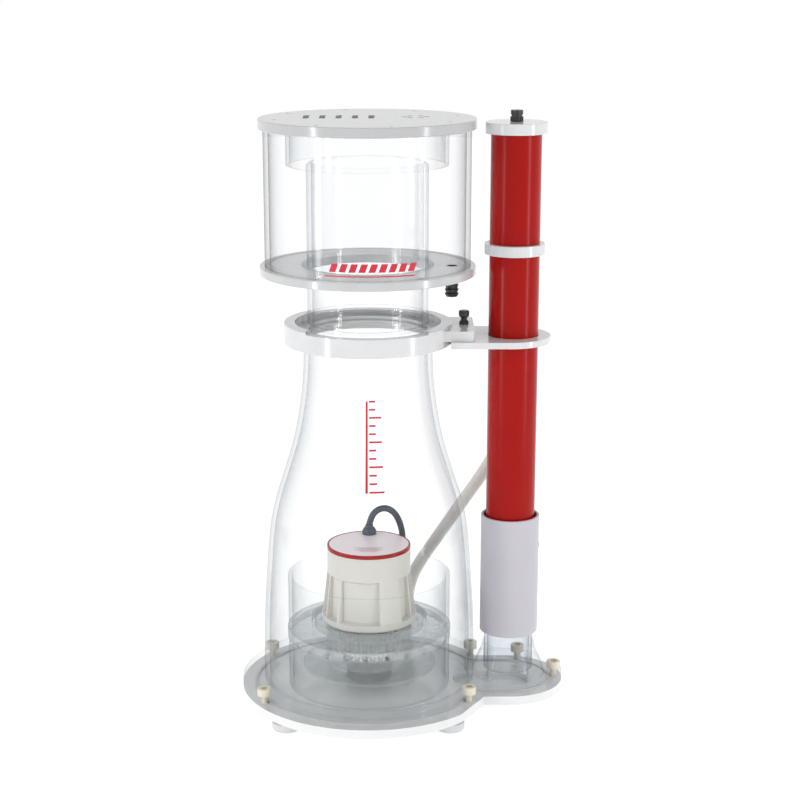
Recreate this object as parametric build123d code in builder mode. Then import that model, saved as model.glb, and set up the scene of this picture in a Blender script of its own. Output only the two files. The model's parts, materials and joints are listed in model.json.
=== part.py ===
"""A cone-bodied protein skimmer: clear body on a keyhole base, lift-off cup, pump and outlet pipe.

Millimetres, +Z up, the floor at Z = 0. The outlet pipe stands on the +X side of the body.
"""

import os

from build123d import *

os.makedirs("parts", exist_ok=True)

# ---- plan ----
PIPE_OFFSET = 145.5  # body axis to pipe axis
BASE_R = 132.5
LOBE_R = 57.0
LOBE_OFFSET = 146.0  # body axis to the lobe's centre
LOBE_Y = 9.0
BODY_X = -(LOBE_OFFSET + LOBE_R - BASE_R) / 2
PIPE_X = BODY_X + PIPE_OFFSET
LOBE_X = BODY_X + LOBE_OFFSET

# ---- heights ----
FOOT_H = 9.0
PLATE_TOP = FOOT_H + 9.6
FLANGE_TOP = PLATE_TOP + 8.9
DISC_BOTTOM = 69.8
DISC_TOP = 80.5
RING_TOP = 136.9
MOTOR_TOP = 168.8
COLLAR_BOTTOM = 382.0
LEDGE_Z = 396.0  # the collar's inner ledge, under the neck ring
NOTCH_Z = 400.3
COLLAR_TOP = 402.6
CUP_BOTTOM = 451.5
CUP_FLOOR = 459.7
NECK_TOP = 561.0
LID_BOTTOM = 593.7
LID_TOP = 603.6
SLEEVE_BOTTOM = 75.6
SLEEVE_TOP = 201.0
PIPE_BOTTOM = 132.0
MID_RING_Z = 470.8
PIPE_TOP = 589.0
CAP_TOP = 599.9

# ---- tubes: outer radius and wall ----
WALL = 5.0
NECK_R = 60.4
CUP_R = 102.0
CUP_PLATE_R = 107.2
COLLAR_R = 84.1
RECESS_R = 73.2
RING_R = 83.9
RING_WALL = 3.6
PIPE_R = 25.0
PIPE_WALL = 2.4
SLEEVE_R = 29.9
SLEEVE_BORE = 27.3
RISER_R = 25.4
RISER_BORE = 22.0

# ---- fits ----
GAP = 0.3  # between parts that move past each other
RUN = 0.05  # radial clearance of a shaft or thread that turns in its hole
SEAM = 0.1  # the cement or seal between a clear part and its seat

BODY_AXIS = Axis((BODY_X, 0, 0), (0, 0, 1))
PIPE_AXIS = Axis((PIPE_X, 0, 0), (0, 0, 1))
BODY_SIDE = Plane(origin=(BODY_X, 0, 0), x_dir=(1, 0, 0), z_dir=(0, -1, 0))
PIPE_SIDE = Plane(origin=(PIPE_X, 0, 0), x_dir=(1, 0, 0), z_dir=(0, -1, 0))


def body_plane(height):
    """A horizontal plane with its origin on the body's axis."""
    return Plane(origin=(BODY_X, 0, height))


def pipe_plane(height):
    """A horizontal plane with its origin on the pipe's axis."""
    return Plane(origin=(PIPE_X, 0, height))


def tube(plane, outer, inner, height):
    """A plain tube that stands on the plane."""
    with BuildPart() as made:
        with BuildSketch(plane):
            Circle(outer)
            if inner:
                Circle(inner, mode=Mode.SUBTRACT)
        extrude(amount=height)
    return made


def turned(side, axis, outline):
    """A solid of revolution from its half outline of (radius, height) points."""
    with BuildPart() as made:
        with BuildSketch(side):
            with BuildLine():
                Polyline(*outline, close=True)
            make_face()
        revolve(axis=axis)
    return made


def save(made, name):
    made.part.label = name
    export_step(made.part, f"parts/{name}.step")


# ================= base =================

NOTCH_DISC = 93.7  # the flanks leave the disc at this X and Y, from the body's axis
NOTCH_FRONT = 119.0  # and meet the lobe's flat front and back at these
NOTCH_BACK = 122.0
FRONT = LOBE_Y - LOBE_R
BACK = LOBE_Y + LOBE_R


def keyhole(height, shrink=0.0):
    """The base's outline: the disc, the lobe round the pipe and the flanks between them."""
    with BuildSketch(Plane.XY.offset(height)) as outline:
        with Locations((BODY_X, 0)):
            Circle(BASE_R)
        with Locations((LOBE_X, LOBE_Y)):
            Circle(LOBE_R)
        with Locations((LOBE_X - LOBE_R, LOBE_Y)):
            Rectangle(2 * LOBE_R, 2 * LOBE_R)
        for side, edge, corner in ((-1, FRONT, NOTCH_FRONT), (1, BACK, NOTCH_BACK)):
            with BuildLine():
                Polyline(
                    (BODY_X + NOTCH_DISC, side * NOTCH_DISC),
                    (BODY_X + corner, edge),
                    (LOBE_X, edge),
                    (LOBE_X, side * NOTCH_DISC),
                    close=True,
                )
            make_face(mode=Mode.SUBTRACT)
        if shrink:
            offset(amount=-shrink, mode=Mode.REPLACE)
    return outline


def keyhole_plate(bottom, top):
    with BuildPart() as made:
        with BuildSketch(Plane.XY.offset(bottom)):
            add(keyhole(bottom).sketch)
        extrude(amount=top - bottom)
    return made


SCREW_R = 3.5
SCREW_HEAD_R = 7.2
SCREW_HEAD_H = 7.6
SCREW_PLACES = [
    (BODY_X - 106.0, -64.5),
    (BODY_X - 106.0, 64.5),
    (BODY_X, 124.5),
    (BODY_X + 102.5, -60.0),
    (BODY_X + 109.0, 66.5),
    (PIPE_X + 49.0, 10.0),
    (PIPE_X + 14.0, 57.0),
]
RING_LINE = 14.0  # how far inside the edge the sealing cord lies
CORD = 3.0
INLET_R = 11.0  # water reaches the pump through the plate, between the feet


def sealing_cord(room):
    """The cord between plate and flange, or with room added all round, its groove."""
    with BuildPart() as made:
        low = PLATE_TOP - CORD / 2 - room
        with BuildSketch(Plane.XY.offset(low)):
            add(keyhole(low, RING_LINE - CORD / 2 - room).sketch)
            add(keyhole(low, RING_LINE + CORD / 2 + room).sketch, mode=Mode.SUBTRACT)
        extrude(amount=CORD + 2 * room)
    return made


base_o_ring = sealing_cord(0)

with BuildPart() as base_plate:
    add(keyhole_plate(FOOT_H, PLATE_TOP).part)
    with BuildSketch(Plane.XY.offset(PLATE_TOP)):
        with Locations(((BODY_X + 110 + PIPE_X) / 2, 0)):
            SlotCenterToCenter(PIPE_OFFSET - 110, 2 * RISER_BORE)
    extrude(amount=-5, mode=Mode.SUBTRACT)
    chamfer(base_plate.faces().sort_by(Axis.Z)[0].edges(), 0.8)
    add(sealing_cord(SEAM).part, mode=Mode.SUBTRACT)
    with Locations(*[(x, y, PLATE_TOP) for x, y in SCREW_PLACES]):
        Hole(SCREW_R, depth=7)
    with Locations((BODY_X, 0, PLATE_TOP)):
        Hole(INLET_R)

with BuildPart() as base_flange:
    add(keyhole_plate(PLATE_TOP + SEAM, FLANGE_TOP).part)
    chamfer(base_flange.faces().sort_by(Axis.Z)[-1].edges(), 0.6)
    add(sealing_cord(SEAM).part, mode=Mode.SUBTRACT)
    with Locations(*[(x, y, FLANGE_TOP) for x, y in SCREW_PLACES]):
        Hole(SCREW_R + SEAM)
    with Locations((BODY_X, 0, FLANGE_TOP)):
        Hole(109.4 - WALL)
    with Locations((PIPE_X, 0, FLANGE_TOP)):
        Hole(RISER_BORE)

with BuildPart() as base_screws:
    for x, y in SCREW_PLACES:
        with BuildSketch(Plane(origin=(x, y, PLATE_TOP - 7))):
            Circle(SCREW_R)
        extrude(amount=FLANGE_TOP - PLATE_TOP + 7)
        with BuildSketch(Plane(origin=(x, y, FLANGE_TOP))):
            Circle(SCREW_HEAD_R)
        extrude(amount=SCREW_HEAD_H)
        with BuildSketch(Plane(origin=(x, y, FLANGE_TOP + SCREW_HEAD_H))):
            RegularPolygon(3.9, 6)
        extrude(amount=-4.5, mode=Mode.SUBTRACT)
    heads = base_screws.faces().filter_by(Axis.Z).group_by(Axis.Z)[-1]
    chamfer(heads.edges().filter_by(GeomType.CIRCLE), 0.5)

FOOT_R = 14.3
FOOT_SPREAD = 83.0
FOOT_PLACES = [(BODY_X + x, y) for x in (-FOOT_SPREAD, FOOT_SPREAD) for y in (-86.0, 86.0)]
FOOT_PLACES.append((LOBE_X + 20, LOBE_Y))
with BuildPart() as feet:
    for x, y in FOOT_PLACES:
        with BuildSketch(Plane(origin=(x, y, 0))):
            Circle(FOOT_R)
        extrude(amount=FOOT_H)
    fillet(feet.faces().group_by(Axis.Z)[0].edges(), 2.5)

# ================= body =================

SHELL_LINE = [
    (109.4, FLANGE_TOP),
    (108.8, 85.0),
    (107.0, 122.0),
    (104.4, 157.0),
    (99.4, 201.0),
    (87.8, 243.0),
    (75.2, 285.2),
    (68.0, 326.0),
    (64.9, 372.0),
]
SHELL_TOP = 392.0


def bell(shift):
    """The body's turned shape, with its surface moved inwards by shift."""
    line = [(radius - shift, height) for radius, height in SHELL_LINE]
    neck = line[-1][0]
    with BuildPart() as made:
        with BuildSketch(BODY_SIDE):
            with BuildLine():
                side = Spline(*line, tangents=[(0, 1), (0, 1)])
                Polyline(side @ 1, (neck, SHELL_TOP), (0, SHELL_TOP), (0, FLANGE_TOP), side @ 0)
            make_face()
        revolve(axis=BODY_AXIS)
    return made


ELBOW_ANGLE = 70.0  # where the air elbow passes the wall, from +X
ELBOW_Z = 54.0
ELBOW_R = 7.0
LEAD_Z = 116.0  # the pump lead's gland
GLAND_R = 8.0
ELBOW_DIR = Vector(1, 0, 0).rotate(Axis.Z, ELBOW_ANGLE)


def radial_plane(direction, distance, height):
    """A plane across a radius of the body, facing outwards."""
    return Plane(origin=Vector(BODY_X, 0, height) + direction * distance, z_dir=direction)


with BuildPart() as body_shell:
    add(bell(0).part)
    add(bell(WALL).part, mode=Mode.SUBTRACT)
    with BuildSketch(radial_plane(ELBOW_DIR, 95, ELBOW_Z)):
        Circle(ELBOW_R + RUN)
    extrude(amount=20, mode=Mode.SUBTRACT)
    with BuildSketch(radial_plane(Vector(0, 1, 0), 90, LEAD_Z)):
        Circle(GLAND_R + RUN)
    extrude(amount=22, mode=Mode.SUBTRACT)

LUG_TOP = 399.4
LUG_BOTTOM = 389.0
LUG_REACH = 105.8
LUG_W = 76.0
SCREW_X = BODY_X + 96.0  # the bracket's thumbscrew
THUMB_R = 4.0
SHELL_NECK = SHELL_LINE[-1][0]

with BuildPart() as body_collar:
    with BuildSketch(body_plane(COLLAR_BOTTOM)):
        Circle(COLLAR_R)
    extrude(amount=COLLAR_TOP - COLLAR_BOTTOM)
    chamfer(body_collar.edges().filter_by(GeomType.CIRCLE), 0.6)
    with BuildSketch(body_plane(LUG_BOTTOM)):
        with Locations((COLLAR_R / 2 + LUG_REACH / 2, 0)):
            Rectangle(LUG_REACH - COLLAR_R, LUG_W)
        with Locations((COLLAR_R / 2 + 10, 0)):
            Rectangle(COLLAR_R - 20, LUG_W)
    extrude(amount=LUG_TOP - LUG_BOTTOM)
    corners = body_collar.edges().filter_by(Axis.Z).group_by(Axis.X)[-1]
    fillet(corners, 4)
    with BuildSketch(body_plane(COLLAR_BOTTOM)):
        Circle(SHELL_NECK + SEAM)
    extrude(amount=SHELL_TOP - COLLAR_BOTTOM + SEAM, mode=Mode.SUBTRACT)
    with BuildSketch(body_plane(COLLAR_BOTTOM)):
        Circle(SHELL_NECK - WALL)
    extrude(amount=LEDGE_Z - COLLAR_BOTTOM, mode=Mode.SUBTRACT)
    with BuildSketch(body_plane(LEDGE_Z)):
        Circle(RECESS_R)
    extrude(amount=20, mode=Mode.SUBTRACT)
    with BuildSketch(body_plane(NOTCH_Z)):
        with Locations((0, -COLLAR_R), (0, COLLAR_R)):
            Rectangle(119, 2 * COLLAR_R - 96)
    extrude(amount=10, mode=Mode.SUBTRACT)
    with Locations((SCREW_X, 0, LUG_TOP)):
        Hole(THUMB_R + RUN)

BRACKET_BOTTOM = 382.6
BRACKET_HALF = 42.5
BRACKET_END = 140.5  # centre of its round end, from the body's axis
BRACKET_LEFT = 82.0
REGULATOR = (PIPE_X + 2.5, 35.5)  # the air regulator's axis, behind the pipe
REGULATOR_R = 5.0

with BuildPart() as pipe_bracket:
    with BuildSketch(body_plane(BRACKET_BOTTOM)):
        with Locations(((BRACKET_LEFT + BRACKET_END) / 2, 0)):
            Rectangle(BRACKET_END - BRACKET_LEFT, 2 * BRACKET_HALF)
        with Locations((BRACKET_END, 0)):
            Circle(BRACKET_HALF)
        Circle(COLLAR_R + 0.2, mode=Mode.SUBTRACT)
        with Locations((PIPE_OFFSET, 0)):
            Circle(PIPE_R + GAP + 0.1, mode=Mode.SUBTRACT)
        with Locations((SCREW_X - BODY_X, 0)):
            Circle(THUMB_R + RUN, mode=Mode.SUBTRACT)
        with Locations((REGULATOR[0] - BODY_X, REGULATOR[1])):
            Circle(REGULATOR_R, mode=Mode.SUBTRACT)
    extrude(amount=LUG_BOTTOM - BRACKET_BOTTOM)
    chamfer(pipe_bracket.faces().sort_by(Axis.Z)[0].outer_wire().edges(), 0.4)

bracket_thumbscrew = turned(
    Plane(origin=(SCREW_X, 0, 0), x_dir=(1, 0, 0), z_dir=(0, -1, 0)),
    Axis((SCREW_X, 0, 0), (0, 0, 1)),
    [
        (0, BRACKET_BOTTOM),
        (THUMB_R, BRACKET_BOTTOM),
        (THUMB_R, LUG_TOP + GAP),
        (4.6, LUG_TOP + GAP),
        (4.8, LUG_TOP + 2.5),
        (3.0, LUG_TOP + 5.0),
        (3.0, LUG_TOP + 6.5),
        (5.2, LUG_TOP + 8.5),
        (5.4, LUG_TOP + 13.0),
        (4.6, LUG_TOP + 14.0),
        (0, LUG_TOP + 14.4),
    ],
)

# ================= pump, inside the body =================

VOLUTE_R = 44.0
VOLUTE_BORE = 40.5
VOLUTE_BOTTOM = 37.5
INTAKE_R = 17.0
INTAKE_BORE = 14.0
SHAFT_R = 2.5
HUB_HOLE = 15.0

LOWER_WALL_Z = PLATE_TOP + SEAM
diffuser_lower = tube(body_plane(LOWER_WALL_Z), RING_R, RING_R - RING_WALL, DISC_BOTTOM - LOWER_WALL_Z)

with BuildPart() as diffuser_ring:
    add(tube(body_plane(DISC_TOP), RING_R, RING_R - RING_WALL, RING_TOP - DISC_TOP).part)
    with BuildSketch(body_plane(RING_TOP)):
        with Locations((8, RING_R)):
            Rectangle(22, 24)
    extrude(amount=-30, mode=Mode.SUBTRACT)

DISC_R = 84.8
VENTS = 25
VENT_R = 3.0
with BuildPart() as bubble_plate:
    with BuildSketch(BODY_SIDE):
        with BuildLine():
            Polyline(
                (HUB_HOLE, DISC_TOP - 3.2),
                (DISC_R - 3.5, DISC_TOP - 3.2),
                (DISC_R - 3.5, DISC_BOTTOM),
                (DISC_R, DISC_BOTTOM),
                (DISC_R, DISC_TOP),
                (NECK_R - 0.4, DISC_TOP),
                (NECK_R - 0.4, DISC_TOP + 9.5),
                (NECK_R - 3.4, DISC_TOP + 9.5),
                (NECK_R - 3.4, DISC_TOP),
                (HUB_HOLE, DISC_TOP),
                close=True,
            )
        make_face()
    revolve(axis=BODY_AXIS)
    for step in range(VENTS):
        out = Vector(1, 0, 0).rotate(Axis.Z, -91 + step * 360 / VENTS)
        with BuildSketch(radial_plane(out, DISC_R - 5, DISC_BOTTOM + 3.7)):
            Circle(VENT_R)
        extrude(amount=8, mode=Mode.SUBTRACT)
    with BuildSketch(body_plane(DISC_TOP)):
        with PolarLocations(71, 18):
            Circle(2.2)
    extrude(amount=-4, mode=Mode.SUBTRACT)

PORTS = 6
PORT_R = 7.0
with BuildPart() as volute:
    add(
        turned(
            BODY_SIDE,
            BODY_AXIS,
            [
                (INTAKE_BORE, 24.5),
                (INTAKE_R, 24.5),
                (INTAKE_R, VOLUTE_BOTTOM),
                (69.0, VOLUTE_BOTTOM),
                (69.0, VOLUTE_BOTTOM + 3),
                (VOLUTE_R, VOLUTE_BOTTOM + 3),
                (VOLUTE_R, DISC_TOP - 3.2),
                (VOLUTE_BORE, DISC_TOP - 3.2),
                (VOLUTE_BORE, VOLUTE_BOTTOM + 4),
                (INTAKE_BORE, VOLUTE_BOTTOM + 4),
            ],
        ).part
    )
    for step in range(PORTS):
        out = Vector(1, 0, 0).rotate(Axis.Z, step * 360 / PORTS)
        with BuildSketch(radial_plane(out, VOLUTE_BORE - 4, 60)):
            Circle(PORT_R)
        extrude(amount=12, mode=Mode.SUBTRACT)

NUT_R = 23.6
NUT_BOTTOM = 22.9
NUT_TOP = VOLUTE_BOTTOM - 2 * GAP
with BuildPart() as intake_union_nut:
    with BuildSketch(body_plane(NUT_BOTTOM)):
        Circle(NUT_R)
        with PolarLocations(NUT_R, 48):
            Circle(0.7, mode=Mode.SUBTRACT)
        Circle(INTAKE_R + RUN, mode=Mode.SUBTRACT)
    extrude(amount=NUT_TOP - NUT_BOTTOM)

# the strainer under the intake stands on the base plate
with BuildPart() as intake_strainer:
    with BuildSketch(body_plane(PLATE_TOP)):
        Circle(INTAKE_BORE - 0.4)
        Circle(INTAKE_BORE - 2.4, mode=Mode.SUBTRACT)
    extrude(amount=14)
    with BuildSketch(body_plane(PLATE_TOP)):
        with PolarLocations(INTAKE_BORE - 1, 10):
            Rectangle(4, 3.4)
    extrude(amount=3.8, mode=Mode.SUBTRACT)

# the wheel that chops air into bubbles, its hub and the rotor magnet turn together on a fixed shaft
WHEEL_Z = 56.0
WHEEL_R = 34.0
HUB_R = 8.5
ROTOR_R = 12.5
ROTOR_BOTTOM = 96.0
ROTOR_TOP = 146.0
SHAFT_BOTTOM = 46.0
SHAFT_TOP = 155.0

with BuildPart() as needle_wheel:
    with BuildSketch(body_plane(WHEEL_Z)):
        Circle(WHEEL_R)
    extrude(amount=2.6)
    with BuildSketch(body_plane(50)):
        for radius, pins in ((31, 24), (24.5, 18), (18, 12)):
            with PolarLocations(radius, pins):
                Circle(1.25)
    extrude(amount=20)
    with BuildSketch(body_plane(50)):
        Circle(HUB_R)
    extrude(amount=ROTOR_BOTTOM - 50)
    with BuildSketch(body_plane(50)):
        Circle(SHAFT_R + RUN)
    extrude(amount=ROTOR_BOTTOM - 50, mode=Mode.SUBTRACT)

rotor_magnet = tube(body_plane(ROTOR_BOTTOM), ROTOR_R, SHAFT_R + RUN, ROTOR_TOP - ROTOR_BOTTOM)
rotor_shaft = tube(body_plane(SHAFT_BOTTOM), SHAFT_R, 0, SHAFT_TOP - SHAFT_BOTTOM)

with BuildPart() as shaft_spider:
    with BuildSketch(body_plane(VOLUTE_BOTTOM + 4)):
        Circle(5)
        Rectangle(2 * VOLUTE_BORE - 2, 3)
        Rectangle(3, 2 * VOLUTE_BORE - 2)
    extrude(amount=SHAFT_BOTTOM - VOLUTE_BOTTOM - 4)
    with BuildSketch(body_plane(SHAFT_BOTTOM)):
        Circle(4.2)
        Circle(SHAFT_R, mode=Mode.SUBTRACT)
    extrude(amount=3)

MOTOR_R = 43.0
SKIRT_R = 48.8
SKIRT_BOTTOM = 88.0
WELL_R = 14.0
WELL_TOP = 149.0
RIB_TOP = 140.0
CAP_BOTTOM = 165.0
PANEL = 30  # degrees of the plain panels at the front and back
FINS = (41, 66, 90, 114, 139)  # degrees from the front
GLAND_Y = 33.0  # the motor's cable gland stands behind its axis
LABEL_DROP = 0.8

with BuildPart() as motor_fin:
    with BuildSketch(BODY_SIDE):
        with BuildLine():
            Polyline(
                (MOTOR_R - 8, SKIRT_BOTTOM + 6),
                (SKIRT_R - 0.5, SKIRT_BOTTOM + 6),
                (MOTOR_R, RIB_TOP),
                (MOTOR_R - 8, RIB_TOP),
                close=True,
            )
        make_face()
    extrude(amount=1.3, both=True)

with BuildPart() as motor_panel:
    add(motor_fin.faces().sort_by(Axis.Y)[0].moved(Location((0, 1.3, 0))))
    revolve(axis=BODY_AXIS, revolution_arc=PANEL)

with BuildPart() as motor_housing:
    with BuildSketch(BODY_SIDE):
        with BuildLine():
            Polyline(
                (0, SKIRT_BOTTOM),
                (SKIRT_R - 1, SKIRT_BOTTOM),
                (SKIRT_R, SKIRT_BOTTOM + 1.5),
                (SKIRT_R, SKIRT_BOTTOM + 7),
                (MOTOR_R - 1.5, SKIRT_BOTTOM + 8),
                (MOTOR_R - 2.5, RIB_TOP - 2),
                (MOTOR_R + 0.1, RIB_TOP),
                (MOTOR_R, CAP_BOTTOM),
                (0, CAP_BOTTOM),
                close=True,
            )
        make_face()
    revolve(axis=BODY_AXIS)
    for side in (-1, 1):
        for fin in FINS:
            add(motor_fin.part.rotate(BODY_AXIS, -90 + side * fin))
    for middle in (-90, 90):
        add(motor_panel.part.rotate(BODY_AXIS, middle + PANEL / 2))
    with BuildSketch(body_plane(SKIRT_BOTTOM)):
        Circle(WELL_R)
    extrude(amount=WELL_TOP - SKIRT_BOTTOM, mode=Mode.SUBTRACT)
    with BuildSketch(body_plane(WELL_TOP)):
        Circle(SHAFT_R)
    extrude(amount=SHAFT_TOP - WELL_TOP, mode=Mode.SUBTRACT)

motor_seat = turned(
    BODY_SIDE,
    BODY_AXIS,
    [
        (HUB_HOLE, DISC_TOP),
        (52.0, DISC_TOP),
        (52.0, DISC_TOP + 3.0),
        (46.0, DISC_TOP + 3.6),
        (46.0, SKIRT_BOTTOM - SEAM),
        (HUB_HOLE, SKIRT_BOTTOM - SEAM),
    ],
)

with BuildPart() as motor_cap:
    with BuildSketch(body_plane(CAP_BOTTOM)):
        Circle(MOTOR_R + 0.1)
    extrude(amount=MOTOR_TOP - CAP_BOTTOM)
    fillet(motor_cap.faces().sort_by(Axis.Z)[-1].edges(), 0.5)
    with BuildSketch(body_plane(MOTOR_TOP)):
        Circle(MOTOR_R - 1.8)
    extrude(amount=-LABEL_DROP, mode=Mode.SUBTRACT)

GLAND_BASE_R = 7.4
LEAD_R = 3.4
GLAND_TOP = 178.5
with BuildPart() as motor_label:
    with BuildSketch(body_plane(MOTOR_TOP - LABEL_DROP)):
        Circle(MOTOR_R - 1.9)
        with Locations((0, GLAND_Y)):
            Circle(GLAND_BASE_R, mode=Mode.SUBTRACT)
    extrude(amount=LABEL_DROP - 0.2)

with BuildPart() as motor_gland:
    with BuildSketch(Plane(origin=(BODY_X, GLAND_Y, 0), x_dir=(1, 0, 0), z_dir=(0, -1, 0))):
        with BuildLine():
            foot = Polyline(
                (0, MOTOR_TOP - LABEL_DROP),
                (GLAND_BASE_R, MOTOR_TOP - LABEL_DROP),
                (GLAND_BASE_R, 171.0),
            )
            dome = ThreePointArc(foot @ 1, (6.4, 174.2), (4.4, 176.2))
            Polyline(dome @ 1, (4.0, GLAND_TOP), (0, GLAND_TOP), foot @ 0)
        make_face()
    revolve(axis=Axis((BODY_X, GLAND_Y, 0), (0, 0, 1)))

# ================= cords =================


def cord(points, radius, name):
    """A round cord along straight runs joined by arcs as large as the runs allow."""
    corners = []
    for before, here, after in zip(points, points[1:], points[2:]):
        first, second = Vector(here) - Vector(before), Vector(after) - Vector(here)
        turn = first.get_angle(second)
        half = Vector(1, 0, 0).rotate(Axis.Z, turn / 2)
        corners.append(0.45 * min(first.length, second.length) * half.X / half.Y)
    with BuildPart() as made:
        with BuildLine():
            path = FilletPolyline(*points, radius=corners)
        with BuildSketch(Plane(origin=path @ 0, z_dir=path % 0)):
            Circle(radius)
        sweep()
    section = 3.14159265 * radius**2
    print(name, "arc radii", [round(corner) for corner in corners])
    print(
        name,
        "length",
        round(path.length, 1),
        "volume over section times length",
        round(made.part.volume / section / path.length, 4),
    )
    return made


def from_axis(points):
    """Points given from the body's axis."""
    return [(BODY_X + x, y, z) for x, y, z in points]


HOSE_R = 6.6
ELBOW_OUT = 119.5  # the elbow's upright, from the body's axis
HOSE_START = 68.0
REGULATOR_BOTTOM = 340.0
ELBOW_AT = ELBOW_DIR * ELBOW_OUT

air_hose = cord(
    from_axis(
        [
            (ELBOW_AT.X, ELBOW_AT.Y, HOSE_START),
            (42.5, 111.6, 82.0),
            (47.5, 109.3, 98.5),
            (56.0, 104.8, 116.0),
            (67.0, 97.7, 135.0),
            (79.0, 89.0, 156.0),
            (92.0, 80.0, 178.5),
            (105.0, 70.5, 201.5),
            (117.0, 61.0, 222.5),
            (128.0, 52.5, 243.5),
            (137.0, 45.5, 266.5),
            (143.5, 40.0, 291.5),
            (147.0, 37.0, 316.5),
            (PIPE_OFFSET + 2.5, 35.5, REGULATOR_BOTTOM),
        ]
    ),
    HOSE_R,
    "air_hose",
)

LEAD_EXIT = 97.0  # the inner face of the wall gland
pump_lead = cord(
    from_axis(
        [
            (0.0, GLAND_Y, GLAND_TOP),
            (2.0, GLAND_Y + 0.5, 187.0),
            (8.0, GLAND_Y + 2.0, 194.0),
            (17.0, GLAND_Y + 4.0, 196.0),
            (25.5, GLAND_Y + 6.5, 191.0),
            (31.0, GLAND_Y + 9.5, 181.0),
            (34.5, GLAND_Y + 13.0, 168.0),
            (35.5, GLAND_Y + 18.0, 153.0),
            (33.0, GLAND_Y + 25.0, 138.5),
            (26.5, GLAND_Y + 33.5, 126.5),
            (16.5, GLAND_Y + 42.5, 119.0),
            (7.0, GLAND_Y + 52.0, LEAD_Z + 0.7),
            (0.0, LEAD_EXIT, LEAD_Z),
        ]
    ),
    LEAD_R,
    "pump_lead",
)

COIL_AT = (BODY_X - 3.0, 232.0)
COIL_R = 46.0
COIL_HOLE = 24.5
COIL_H = 14.2
BOOT_END = 136.0
supply_lead = cord(
    from_axis(
        [
            (0.0, BOOT_END, LEAD_Z),
            (-1.0, 148.0, LEAD_Z - 1.0),
            (-3.0, 160.0, 111.5),
            (-6.5, 170.5, 104.5),
            (-11.5, 178.5, 93.5),
            (-17.0, 184.5, 80.0),
            (-23.0, 188.5, 65.5),
            (-29.5, 192.0, 50.5),
            (-35.5, 196.5, 36.0),
            (-40.5, 202.5, 22.5),
            (-44.0, 212.0, 11.5),
            (-45.0, 223.0, 5.2),
            (-45.0, 234.0, 3.6),
        ]
    ),
    LEAD_R,
    "supply_lead",
)

with BuildPart() as supply_coil:
    add(tube(Plane(origin=(*COIL_AT, 0)), COIL_R, COIL_HOLE, COIL_H).part)
    add(supply_lead.part, mode=Mode.SUBTRACT)

PLUG_LONG = 37.0
PLUG_WIDE = 33.0
PLUG_THICK = 14.0
PLUG_AT = (COIL_AT[0] + 2, COIL_AT[1] + 33, COIL_H + 0.1 + PLUG_THICK / 2)
PIN_R = 2.0
PIN_SPACE = 19.0
with BuildPart() as plug:
    with BuildSketch(Plane(origin=PLUG_AT, z_dir=(1, 0, 0), x_dir=(0, 1, 0))):
        RectangleRounded(PLUG_WIDE, PLUG_THICK, 5.5)
    extrude(amount=PLUG_LONG / 2)
    with BuildSketch(Plane(origin=PLUG_AT, z_dir=(-1, 0, 0), x_dir=(0, 1, 0))):
        RectangleRounded(PLUG_WIDE, PLUG_THICK, 5.5)
    with BuildSketch(
        Plane(origin=Vector(PLUG_AT) - Vector(PLUG_LONG / 2, 0, 0), z_dir=(-1, 0, 0), x_dir=(0, 1, 0))
    ):
        RectangleRounded(PLUG_THICK - 2, PLUG_THICK - 3, 5)
    loft()
    end = Vector(PLUG_AT) - Vector(PLUG_LONG / 2, 0, 0)
    with BuildSketch(Plane(origin=end, z_dir=(-1, 0, 0))):
        Circle(5.0)
    with BuildSketch(Plane(origin=end - Vector(14, 0, 0), z_dir=(-1, 0, 0))):
        Circle(LEAD_R + 0.8)
    loft()
    tip = Vector(PLUG_AT) + Vector(PLUG_LONG / 2, 0, 0)
    with BuildSketch(Plane(origin=tip, z_dir=(1, 0, 0), x_dir=(0, 1, 0))):
        with GridLocations(PIN_SPACE, 1, 2, 1):
            Circle(PIN_R)
    extrude(amount=18)

# ================= glands and the air line's fittings =================

GLAND_OUT = 114.0
with BuildPart() as lead_gland:
    with BuildSketch(radial_plane(Vector(0, 1, 0), 100, LEAD_Z)):
        Circle(11)
    extrude(amount=10.5)
    add(bell(0).part, mode=Mode.SUBTRACT)
    with BuildSketch(radial_plane(Vector(0, 1, 0), LEAD_EXIT, LEAD_Z)):
        Circle(GLAND_R)
    extrude(amount=GLAND_OUT - LEAD_EXIT)
    with BuildSketch(radial_plane(Vector(0, 1, 0), 110.5, LEAD_Z)):
        RegularPolygon(10, 6)
    extrude(amount=GLAND_OUT - 110.5)
    with BuildSketch(radial_plane(Vector(0, 1, 0), GLAND_OUT, LEAD_Z)):
        Circle(6.2)
    with BuildSketch(radial_plane(Vector(0, 1, 0), BOOT_END, LEAD_Z)):
        Circle(LEAD_R + 0.7)
    loft()

with BuildPart() as lead_gland_nut:
    with BuildSketch(radial_plane(Vector(0, 1, 0), LEAD_EXIT + 0.5, LEAD_Z)):
        RegularPolygon(11, 6)
        Circle(GLAND_R, mode=Mode.SUBTRACT)
    extrude(amount=4)

with BuildPart() as air_elbow:
    with BuildSketch(radial_plane(ELBOW_DIR, 100, ELBOW_Z)):
        Circle(9.5)
    extrude(amount=11.5)
    add(bell(0).part, mode=Mode.SUBTRACT)
    with BuildSketch(radial_plane(ELBOW_DIR, 97, ELBOW_Z)):
        Circle(ELBOW_R)
    extrude(amount=ELBOW_OUT - 97)
    with BuildSketch(Plane(origin=(BODY_X + ELBOW_AT.X, ELBOW_AT.Y, ELBOW_Z - 7.5))):
        Circle(7.6)
    extrude(amount=HOSE_START - ELBOW_Z + 4.5)
    with BuildSketch(Plane(origin=(BODY_X + ELBOW_AT.X, ELBOW_AT.Y, HOSE_START - 3))):
        Circle(HOSE_R)
    extrude(amount=3)

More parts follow.
